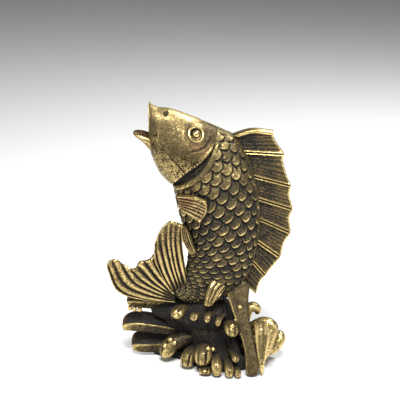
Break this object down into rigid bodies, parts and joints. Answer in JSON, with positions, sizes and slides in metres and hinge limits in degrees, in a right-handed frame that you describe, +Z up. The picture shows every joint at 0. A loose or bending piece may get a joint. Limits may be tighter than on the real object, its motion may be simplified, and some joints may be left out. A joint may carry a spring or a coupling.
{
  "type": "leaping carp figurine",
  "caption": "Small cast brass ornament of a scaled carp leaping out of curling waves, with ribbed fins, open mouth and a flat foot.",
  "frame": {"origin": "on the foot's flat resting face, under the fish", "axes": "+Z up; the fish lies in the XZ plane with its mouth towards -X; -Y is the fish's left side"},
  "size_m": [0.0346, 0.0205, 0.05],
  "materials": {
    "brass": "worn antique, polished on the high spots and dark in the hollows",
    "brass_recess": "dark patina, dull"
  },
  "bodies": {
    "root": {"anal_fin": "brass", "back_leaf": "brass", "base_plate": "brass_recess", "dorsal_fin": "brass", "eye_left": "brass", "eye_right": "brass", "eye_ring_left": "brass", "eye_ring_right": "brass", "gill_collar": "brass", "head": "brass", "left_blade": "brass", "left_crest": "brass", "left_scroll": "brass", "lower_claw_01": "brass", "lower_claw_02": "brass", "lower_claw_03": "brass", "lower_claw_04": "brass", "lower_claw_05": "brass", "lower_claw_06": "brass", "lower_claw_07": "brass", "lower_claw_08": "brass", "lower_claw_09": "brass", "lower_claw_10": "brass", "lower_claw_11": "brass", "lower_claw_12": "brass", "lower_claw_13": "brass", "lower_jaw": "brass", "pectoral_fin_left": "brass", "pectoral_fin_right": "brass", "pelvic_fin_left": "brass", "pelvic_fin_right": "brass", "right_rim": "brass", "right_shell": "brass", "right_volute": "brass", "small_curl": "brass", "tail_fin_lower": "brass", "tail_fin_upper": "brass", "trunk": "brass", "upper_claw_01": "brass", "upper_claw_02": "brass", "upper_claw_03": "brass", "upper_claw_04": "brass", "upper_claw_05": "brass", "upper_claw_06": "brass", "upper_claw_07": "brass", "upper_claw_08": "brass", "upper_claw_09": "brass", "upper_shelf": "brass_recess", "water_column": "brass", "wave_core": "brass_recess"}
  },
  "joints": []
}
